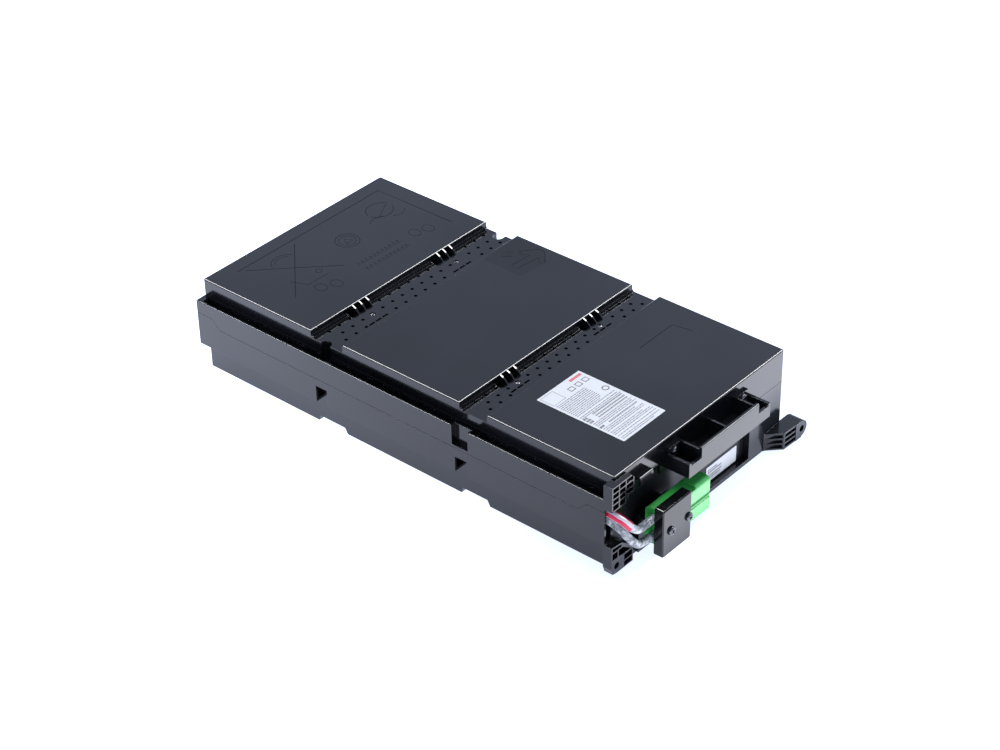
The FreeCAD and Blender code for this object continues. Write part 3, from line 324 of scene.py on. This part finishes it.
def floor_white():
    """Studio floor that glows, so that the glossy walls have a white ground to mirror."""
    s = Surface("floor_white")
    y = s.axes(s.place)[1]
    before = s.spread(y, 1.0, 0.0, FRONT_Y - GLOW_FRONT_FADE, FRONT_Y)
    side = s.spread(y, GLOW_SIDE, GLOW_REAR, *GLOW_SIDE_Y)
    glow = s.math("ADD", side, s.math("MULTIPLY", before, GLOW_FRONT - GLOW_SIDE))
    s.mottle(s.noise(40.0, 3.0), (0.29, 0.28, 0.27), (0.33, 0.32, 0.31))
    s.set("Roughness", 0.8)
    s.set("Emission Color", s.blend(before, (*GLOW_SIDE_TINT, 1), (*GLOW_FRONT_TINT, 1)))
    s.set("Emission Strength", glow)
    return s.material


def add_floor():
    mesh = bpy.data.meshes.new("floor")
    corners = [(sx * FLOOR_REACH, sy * FLOOR_REACH, 0) for sx, sy in SQUARE]
    mesh.from_pydata(corners, [], [(0, 1, 2, 3)])
    mesh.materials.append(floor_white())
    floor = bpy.data.objects.new("floor", mesh)
    bpy.context.scene.collection.objects.link(floor)


# ---- pieces -----------------------------------------------------------------------------------
def add_piece(name, mesh, slot, *replaced):
    piece = bpy.data.objects.new(name, mesh)
    bpy.context.scene.collection.objects.link(piece)
    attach(piece, "root")
    if replaced:
        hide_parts(*replaced)


def mesh_from(bm, name, *materials):
    mesh = bpy.data.meshes.new(name)
    bm.to_mesh(mesh)
    bm.free()
    for material in materials:
        mesh.materials.append(material)
    return mesh


def shade_smooth(mesh):
    for face in mesh.polygons:
        face.use_smooth = True


def arc(cx, cy, r, start, end, squash=1.0, steps=24):
    """Points of an arc, in millimetres and degrees."""
    points = []
    for k in range(steps + 1):
        angle = math.radians(start + (end - start) * k / steps)
        points.append((cx + r * math.cos(angle), cy + r * squash * math.sin(angle)))
    return points


def ribbon(bm, points, width, z, closed=False, index=0):
    """Flat strip of one width along points in metres; index is its material."""
    pairs = []
    count = len(points)
    for k, point in enumerate(points):
        before = points[k - 1] if closed or k else point
        after = points[(k + 1) % count] if closed or k < count - 1 else point
        along = (Vector(after) - Vector(before)).normalized()
        side = Vector((-along.y, along.x)) * width / 2
        pairs.append([bm.verts.new((point[0] + s * side.x, point[1] + s * side.y, z))
                      for s in (-1, 1)])
    for first, second in zip(pairs, pairs[1:] + (pairs[:1] if closed else [])):
        face = bm.faces.new((first[0], second[0], second[1], first[1]))
        face.material_index = index


# Moulded marks, as (points, width) in millimetres from the pad's middle: lines and generic shapes only,
# each drawn as a flat strip in painted groove shade.
REAR_MARKS = [
    ([(-72.5, 41.0), (77.8, 40.6), (78.1, -34.2)], 0.68),
    ([(-67.5, 37.7), (-42.0, 12.5), (-16.9, -13.0)], 0.60),
    ([(-18.5, 35.8), (-44.5, 10.0), (-70.3, -15.8)], 0.60),
    (arc(-41.0, 22.5, 11.5, 20, 165, 0.9), 0.45),
    (arc(-41.0, 22.5, 8.6, 35, 150, 0.9), 0.38),
    (arc(-34.0, -4.0, 2.4, 0, 360), 0.45),
    ([(-57.5, 1.5), (-52.5, -11.0), (-31.0, -11.5)], 0.42),
    (arc(9.6, 8.6, 9.4, 0, 360), 0.48),
    (arc(9.6, 8.6, 6.6, 0, 360), 0.38),
    ([(6.2, 6.0), (13.0, 6.0), (9.6, 12.2), (6.2, 6.0)], 0.42),
    (arc(57.0, 20.0, 11.5, 15, 170, 0.85), 0.48),
    (arc(57.0, 20.0, 11.5, 190, 345, 0.85), 0.48),
    (arc(45.0, 8.0, 9.0, 30, 150, 0.7), 0.42),
    (arc(64.0, 8.5, 7.0, 200, 350, 0.7), 0.42),
    ([(49.0, 13.0), (66.0, 22.0)], 0.42),
    (arc(49.5, -22.5, 4.2, 0, 360, 1.25), 0.39),
    (arc(60.5, -26.0, 4.2, 0, 360, 1.25), 0.39),
    (arc(-49.0, -20.5, 4.2, 0, 360, 1.25), 0.39),
    (arc(-38.0, -25.5, 4.2, 0, 360, 1.25), 0.39)]
ARROW_MARKS = [
    ([(78.3, 34.7), (89.4, 25.9), (89.0, 20.1), (77.4, 10.3), (74.5, 13.5), (80.3, 18.4),
      (58.7, 21.2), (59.8, 27.3), (78.8, 25.7), (75.3, 32.3), (78.3, 34.7)], 0.55),
    ([(64.0, 40.5), (69.5, 34.5)], 0.45),
    ([(70.5, 42.0), (74.5, 38.0)], 0.45)]
FRONT_MARKS = [([(33.0, 24.3), (70.5, 24.6), (73.4, 8.9)], 0.6)]
ARROW_FIELD = [(53.2, 13.0), (79.0, 10.2), (92.0, 23.2), (92.0, 48.6), (53.2, 48.6)]
FIELD_LIFT = 0.00002
MARK_LIFT = 0.00004
ZIGZAG_ROWS = (-20.3, -29.0)    # rows of small strokes on the rear pad
ZIGZAG_START = -10.0
ZIGZAG_PITCH = 4.1
ZIGZAG_FALL = 0.1
ZIGZAG_COUNT = 11
ZIGZAG_STROKES = [(((0, -2.2), (1.4, 2.2)), 0.35), (((1.6, 1.8), (2.6, -1.8)), 0.28)]


def add_moulded_marks(line, field):
    bm = bmesh.new()
    def draw(points, width, pad_y):
        placed = [(x * MM, pad_y + y * MM) for x, y in points]
        ribbon(bm, placed, width * MM, PAD_Z + MARK_LIFT)
    corners = [bm.verts.new((x * MM, MIDDLE_PAD_Y + y * MM, PAD_Z + FIELD_LIFT)) for x, y in ARROW_FIELD]
    bm.faces.new(corners).material_index = 1
    for pad_y, marks in ((REAR_PAD_Y, REAR_MARKS), (MIDDLE_PAD_Y, ARROW_MARKS),
                         (FRONT_PAD_Y, FRONT_MARKS)):
        for points, width in marks:
            draw(points, width, pad_y)
    for row in ZIGZAG_ROWS:
        for k in range(ZIGZAG_COUNT):
            x = ZIGZAG_START + ZIGZAG_PITCH * k
            y = row - ZIGZAG_FALL * k
            for points, width in ZIGZAG_STROKES:
                draw([(x + dx, y + dy) for dx, dy in points], width, REAR_PAD_Y)
    add_piece("moulded_marks", mesh_from(bm, "moulded_marks", line, field), "case_plastic")


# ---- labels: x across, y up the sheet, in millimetres from a corner ---------------------------
GREY, DARK, BLACK, RED = 1, 2, 3, 4     # materials of the print; 0 is the paper
PAPER_T = 0.1
INK_LIFT = 0.02
BLANK_LIFT = 0.03               # paper again, over the ink; the highest layer ends at the node's face
BOLD_ROWS = ((0.52, 0.60), (0.68, 0.74))        # shares of the length, from the top edge


def rect(bm, x0, x1, y0, y1, place, index):
    corners = ((x0, y0), (x1, y0), (x1, y1), (x0, y1))
    bm.faces.new([bm.verts.new(place(x, y)) for x, y in corners]).material_index = index


def text_row(bm, rng, x0, x1, y, height, place, index, word=(0.8, 3.2), gap=0.45):
    """A row of small blocks that reads as fine print from afar; it spells nothing."""
    x = x0
    while x < x1 - word[0]:
        end = min(x + rng.uniform(*word), x1)
        rect(bm, x, end, y - height / 2, y + height / 2, place, index)
        x = end + gap


def sheet_of_paper(bm, width, length, place, corner):
    """Paper with rounded corners: its face and its thin rim."""
    outline = []
    for cx, cy, start in ((width - corner, length - corner, 0), (corner, length - corner, 90),
                          (corner, corner, 180), (width - corner, corner, 270)):
        outline += arc(cx, cy, corner, start, start + 90, steps=5)
    upper = [bm.verts.new(place(x, y, 0)) for x, y in outline]
    lower = [bm.verts.new(place(x, y, -PAPER_T)) for x, y in outline]
    bm.faces.new(upper)
    for k in range(len(outline)):
        n = (k + 1) % len(outline)
        bm.faces.new((lower[k], lower[n], upper[n], upper[k]))


def add_top_label(*materials):
    """Generic form print: a red bar, empty squares, a ring, an empty frame and rows of blocks."""
    low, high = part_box("top_label")
    width = (high.x - low.x) / MM
    length = (high.y - low.y) / MM
    rng = random.Random(4)
    bm = bmesh.new()
    def place(x, y, lift=INK_LIFT):
        return (low.x + x * MM, low.y + y * MM, high.z + (lift - BLANK_LIFT) * MM)
    def blank(x, y):
        return place(x, y, BLANK_LIFT)
    sheet_of_paper(bm, width, length, place, 0.6)
    rect(bm, width - 14.0, width - 2.0, length - 4.6, length - 2.2, place, RED)
    for k in range(3):
        x = width - 22.5 + 7.4 * k
        rect(bm, x, x + 5.0, length - 12.4, length - 7.8, place, BLACK)
        rect(bm, x + 0.7, x + 4.3, length - 11.7, length - 8.5, blank, 0)
    frame_x = (1.6, 1.9, 14.2, 14.5)
    frame_y = (length - 13.8, length - 13.5, length - 2.0, length - 1.7)
    rect(bm, frame_x[0], frame_x[3], frame_y[2], frame_y[3], place, BLACK)
    rect(bm, frame_x[0], frame_x[3], frame_y[0], frame_y[1], place, BLACK)
    rect(bm, frame_x[0], frame_x[1], frame_y[0], frame_y[3], place, BLACK)
    rect(bm, frame_x[2], frame_x[3], frame_y[0], frame_y[3], place, BLACK)
    ring = [place(x, y) for x, y in arc(width - 4.6, length - 27.0, 2.3, 0, 360)]
    ribbon(bm, [point[:2] for point in ring[:-1]], 0.9 * MM, ring[0][2], closed=True, index=BLACK)
    y = length - 15.8
    while y > 2.0:
        part = 1 - y / length
        if any(start < part < end for start, end in BOLD_ROWS):
            text_row(bm, rng, 1.6, 6.8, y, 1.9, place, DARK, (1.4, 2.4), 0.3)
            text_row(bm, rng, 11.0, width - 3.0, y, 1.4, place, DARK, (0.8, 1.4), 0.4)
            y -= 2.6
        elif y > length - 30:
            text_row(bm, rng, 2.0, width - 13.0, y, 0.75, place, GREY)
            y -= 1.75
        else:
            right = width - rng.choice((2.0, 3.0, 9.0, 16.0))
            text_row(bm, rng, 2.0, right, y, 0.75, place, GREY)
            y -= 1.7 if rng.random() < 0.8 else 2.6
    mesh = mesh_from(bm, "top_label_print", *materials)
    add_piece("top_label_print", mesh, "paper_white", "top_label")


def add_front_label(*materials):
    """Four short rows of blocks on a small sheet that faces the front."""
    low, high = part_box("front_label")
    width = (high.x - low.x) / MM
    height = (high.z - low.z) / MM
    rng = random.Random(9)
    bm = bmesh.new()
    def place(x, z, lift=INK_LIFT):
        return (low.x + x * MM, low.y - (lift - INK_LIFT) * MM, low.z + z * MM)
    sheet_of_paper(bm, width, height, place, 0.9)
    for row, end in ((3.0, 0.46), (5.0, 0.52), (7.6, 0.50), (9.6, 0.36)):
        text_row(bm, rng, 2.0, width * end, row, 1.2, place, GREY, (0.8, 1.8), 0.4)
    mesh = mesh_from(bm, "front_label_print", *materials)
    add_piece("front_label_print", mesh, "paper_white", "front_label")


# ---- leads: the routes of the source, in millimetres ------------------------------------------
NEGATIVE_ROUTE = [
    (-55.0, -200.8, 17.8), (-79.0, -200.8, 17.8), (-94.5, -205.0, 29.5), (-97.8, -193.5, 42.9),
    (-97.6, -149.0, 42.9), (-97.8, -82.0, 42.9), (-89.0, -74.5, 42.9), (-86.3, -73.0, 28.0),
    (-60.0, -75.2, 25.0), (10.0, -75.8, 24.0), (60.0, -74.2, 25.0), (80.6, -78.4, 27.0),
    (80.6, -78.4, 54.5)]
POSITIVE_ROUTE = [
    (-55.0, -200.8, 32.3), (-77.0, -200.8, 32.3), (-93.0, -206.0, 39.0), (-97.8, -194.0, 48.8),
    (-97.6, -149.0, 48.8), (-97.8, -83.3, 48.8), (-94.6, -74.8, 48.8), (-94.6, -53.8, 48.8),
    (-97.8, -47.0, 48.8), (-97.6, -2.0, 48.8), (-97.8, 56.0, 48.8), (-89.3, 64.0, 43.8),
    (-85.0, 64.0, 27.0), (-80.6, 78.4, 28.0), (-80.6, 78.4, 54.5)]
LEAD_R = 2.9
SLEEVE_CORNER = 2               # point of the upper route before the wrapped label
SLEEVE_FROM = 2.5               # the label starts this far past it
SLEEVE_LENGTH = 26.0
SLEEVE_GAP = 0.2
FLAP_T = 0.28
FLAP_ANGLES = (0.6, 2.4)
TAG_BANDS = 3


def lead_curve(name, route):
    curve = bpy.data.curves.new(name, "CURVE")
    curve.dimensions = "3D"
    curve.resolution_u = 16
    spline = curve.splines.new("NURBS")
    spline.points.add(len(route) - 1)
    for point, (x, y, z) in zip(spline.points, route):
        point.co = (x * MM, y * MM, z * MM, 1)
    spline.order_u = 3
    spline.use_endpoint_u = True
    return curve


def centreline(route):
    probe = bpy.data.objects.new("probe", lead_curve("probe", route))
    bpy.context.scene.collection.objects.link(probe)
    mesh = bpy.data.meshes.new_from_object(probe)
    points = [v.co.copy() for v in mesh.vertices]
    bpy.data.objects.remove(probe)
    return points


def add_lead(name, route, material, slot, node):
    curve = lead_curve(name, route)
    curve.bevel_depth = LEAD_R * MM
    curve.bevel_resolution = 7
    curve.use_fill_caps = True
    curve.materials.append(material)
    add_piece(name, curve, slot, node)


def tube_along(points, radius, sides=28):
    """Skin of a tube along points; radius is a function of (part of the length, angle)."""
    bm = bmesh.new()
    rings = []
    side = Vector((0, 0, 1))
    for k, point in enumerate(points):
        along = (points[min(k + 1, len(points) - 1)] - points[max(k - 1, 0)]).normalized()
        side = (side - along * side.dot(along)).normalized()
        other = along.cross(side)
        part = k / (len(points) - 1)
        ring = []
        for j in range(sides):
            angle = 2 * math.pi * j / sides
            ring.append(bm.verts.new(point + (side * math.cos(angle) + other * math.sin(angle))
                                     * radius(part, angle)))
        rings.append(ring)
    uv = bm.loops.layers.uv.new("along")
    for k, (first, second) in enumerate(zip(rings, rings[1:])):
        for j in range(sides):
            n = (j + 1) % sides
            face = bm.faces.new((first[j], first[n], second[n], second[j]))
            face.smooth = True
            for loop, (u, v) in zip(face.loops, ((j, k), (j + 1, k), (j + 1, k + 1), (j, k + 1))):
                loop[uv].uv = (u / sides, v / (len(rings) - 1))
    return bm


def add_sleeve(material):
    """Wrapped label round the upper lead, a little creased, with an overlapping flap."""
    points = centreline(POSITIVE_ROUTE)
    corner = Vector(POSITIVE_ROUTE[SLEEVE_CORNER]) * MM
    nearest = min(range(len(points)), key=lambda k: (points[k] - corner).length)
    travelled = 0.0
    chosen = []
    for before, after in zip(points[nearest:], points[nearest + 1:]):
        travelled += (after - before).length / MM
        if travelled > SLEEVE_FROM + SLEEVE_LENGTH:
            break
        if travelled > SLEEVE_FROM:
            chosen.append(after)
    def radius(part, angle):
        crease = 0.07 * math.sin(9 * part + 2 * angle) + 0.05 * math.sin(23 * part - 3 * angle)
        flap = FLAP_T if FLAP_ANGLES[0] < angle < FLAP_ANGLES[1] else 0.0
        return (LEAD_R + SLEEVE_GAP + crease + flap) * MM
    bm = tube_along(chosen, radius)
    add_piece("lead_sleeve", mesh_from(bm, "lead_sleeve", material), "tag_red", "cable_tag")


# ---- screws: radius and height of the head, radius of the shank, in millimetres ---------------
PAN_SCREW = (3.2, 2.2, 1.5)
SPOT_SCREW = (1.9, 0.9, 1.4)
SPOT_SHANK = 11.0
POINT_ROOM = 0.95               # left for the point at the end of a shank
POINT_RATIO = 0.6               # length of the point, in radii of the shank
CROWN_DEGREES = (0, 18, 36, 54, 70, 82, 90)
CROWN_RISE = 0.55               # share of the head's height that is domed
CROSS_WIDTH = 0.16              # recess, as shares of the head's radius and height
CROSS_REACH = 0.68
CROSS_DEPTH = 0.7
CROSS_TAPER = 0.72              # width at the bottom of the recess
SCREW_TURN = 0.55               # the second screw of a pair is turned further, in radians


def lathe(bm, profile, place, steps=32):
    """Turned skin of a profile of (radius, depth) pairs; the first and last pair lie on the axis."""
    rings = []
    for r, depth in profile:
        if r == 0:
            rings.append([bm.verts.new(place(0, 0, depth))])
            continue
        rings.append([bm.verts.new(place(r * math.cos(2 * math.pi * k / steps),
                                         r * math.sin(2 * math.pi * k / steps), depth))
                      for k in range(steps)])
    for first, second in zip(rings, rings[1:]):
        for k in range(steps):
            n = (k + 1) % steps
            corners = [first[k % len(first)], first[n % len(first)], second[n % len(second)],
                       second[k % len(second)]]
            bm.faces.new(list(dict.fromkeys(corners)))


def cross_cutter(bm, width, reach, depth, place):
    """Two crossed wedges, wider at the top, that cut the recess."""
    for sx, sy in ((reach, width), (width, reach)):
        corners = []
        for z, taper in ((-0.5, 1.0), (depth, CROSS_TAPER)):
            corners.append([bm.verts.new(place(x * sx * taper, y * sy * taper, z)) for x, y in SQUARE])
        bm.faces.new(corners[0])
        bm.faces.new(corners[1][::-1])
        for k in range(4):
            n = (k + 1) % 4
            bm.faces.new((corners[0][k], corners[0][n], corners[1][n], corners[1][k]))


def screw_mesh(places, size, length, material):
    """Pan-head screws with a cross recess, cut by a Boolean that is applied here."""
    head_r, head_h, shank_r = size
    head = bmesh.new()
    cutter = bmesh.new()
    crown = [(head_r * math.sin(math.radians(d)), head_h * CROWN_RISE * (1 - math.cos(math.radians(d))))
             for d in CROWN_DEGREES]
    profile = crown + [(head_r, head_h), (shank_r, head_h), (shank_r, head_h + length),
                       (0, head_h + length + shank_r * POINT_RATIO)]
    for place in places:
        lathe(head, profile, place)
        cross_cutter(cutter, head_r * CROSS_WIDTH, head_r * CROSS_REACH, head_h * CROSS_DEPTH, place)
    for bm in (head, cutter):
        bmesh.ops.recalc_face_normals(bm, faces=bm.faces)
    body = bpy.data.objects.new("screw_body", mesh_from(head, "screw_body", material))
    tool = bpy.data.objects.new("screw_tool", mesh_from(cutter, "screw_tool", material))
    for item in (body, tool):
        bpy.context.scene.collection.objects.link(item)
    cut = body.modifiers.new("cut", "BOOLEAN")
    cut.operation = "DIFFERENCE"
    cut.solver = "EXACT"
    cut.use_self = True
    cut.object = tool
    bpy.context.view_layer.update()
    mesh = bpy.data.meshes.new_from_object(body.evaluated_get(bpy.context.evaluated_depsgraph_get()))
    for item in (body, tool):
        bpy.data.objects.remove(item)
    shade_smooth(mesh)
    mesh.set_sharp_from_angle(angle=math.radians(38))
    return mesh


def add_front_screws(node, turn, material):
    """The two screws of a node, side by side, with their heads to the front."""
    head_r, head_h = PAN_SCREW[:2]
    low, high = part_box(node)
    z = (low.z + high.z) / 2
    places = []
    for x, spin in ((low.x + head_r * MM, turn), (high.x - head_r * MM, turn + SCREW_TURN)):
        def place(a, b, depth, x=x, spin=spin):
            return (x + (a * math.cos(spin) - b * math.sin(spin)) * MM, low.y + depth * MM,
                    z + (a * math.sin(spin) + b * math.cos(spin)) * MM)
        places.append(place)
    length = (high.y - low.y) / MM - head_h - POINT_ROOM
    add_piece(node + "_detailed", screw_mesh(places, PAN_SCREW, length, material), "screw_steel", node)


def add_cover_screws(material):
    """The four screws in the troughs, with their heads up."""
    head_r = SPOT_SCREW[0]
    low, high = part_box("cover_screws")
    places = []
    for x in (low.x + head_r * MM, high.x - head_r * MM):
        for y in (low.y + head_r * MM, high.y - head_r * MM):
            def place(a, b, depth, x=x, y=y):
                return (x + a * MM, y - b * MM, high.z - depth * MM)
            places.append(place)
    mesh = screw_mesh(places, SPOT_SCREW, SPOT_SHANK, material)
    add_piece("cover_screws_detailed", mesh, "screw_steel", "cover_screws")


# ---- build ------------------------------------------------------------------------------------
add_camera()
add_world()
add_floor()
for softbox in SOFTBOXES:
    add_softbox(*softbox)
bpy.context.scene.view_settings.view_transform = "Standard"

rails = [name for name in nodes if name.startswith("guide_rail")]
dress(case_plastic(), "bottom_tray", "pull_handle", *rails)
dress(case_plastic("cover_plastic", edge=0.0), "top_cover")
dress(case_plastic("clamp_plastic", shine=0.32), "connector_clamp")
dress(battery_plastic(), *["battery_%d" % n for n in range(1, 7)])
dress(connector_plastic(), "connector_housing")
dress(steel("contact_metal", (0.75, 0.75, 0.72), 0.2, 0.35), "contact_negative", "contact_positive",
      "battery_terminals")
dress(soft_plastic("link_black", 300.0, (0.015, 0.015, 0.016), (0.03, 0.03, 0.032), 0.4, 0.55),
      "jumper_front", "jumper_left", "jumper_middle", "jumper_right", "jumper_rear")
dress(soft_plastic("receptacle", 200.0, (0.45, 0.02, 0.015), (0.55, 0.035, 0.03), 0.35, 0.5),
      "tab_receptacles")

insulation = lead_grey()
add_lead("lead_negative", NEGATIVE_ROUTE, insulation, "lead_grey", "negative_cable")
add_lead("lead_positive", POSITIVE_ROUTE, insulation, "lead_grey", "positive_cable")
add_sleeve(tag_wrap())
screw_steel = steel("screw_steel", (0.10, 0.10, 0.11), 0.12, 0.25)
add_front_screws("clamp_screws", 0.5, screw_steel)
add_front_screws("handle_screws", 0.2, screw_steel)
add_cover_screws(screw_steel)
# the marks are flat strips coloured with painted groove shade
add_moulded_marks(painted_groove_shade(), case_plastic("arrow_field", shine=0.42))
white = paper()
add_top_label(white, ink("print_grey", (0.09, 0.09, 0.10)), ink("print_dark", (0.05, 0.05, 0.055)),
              ink("print_black", (0.02, 0.02, 0.022)), ink("print_red", (0.42, 0.03, 0.03)))
add_front_label(white, ink("print_small", (0.03, 0.03, 0.035)))
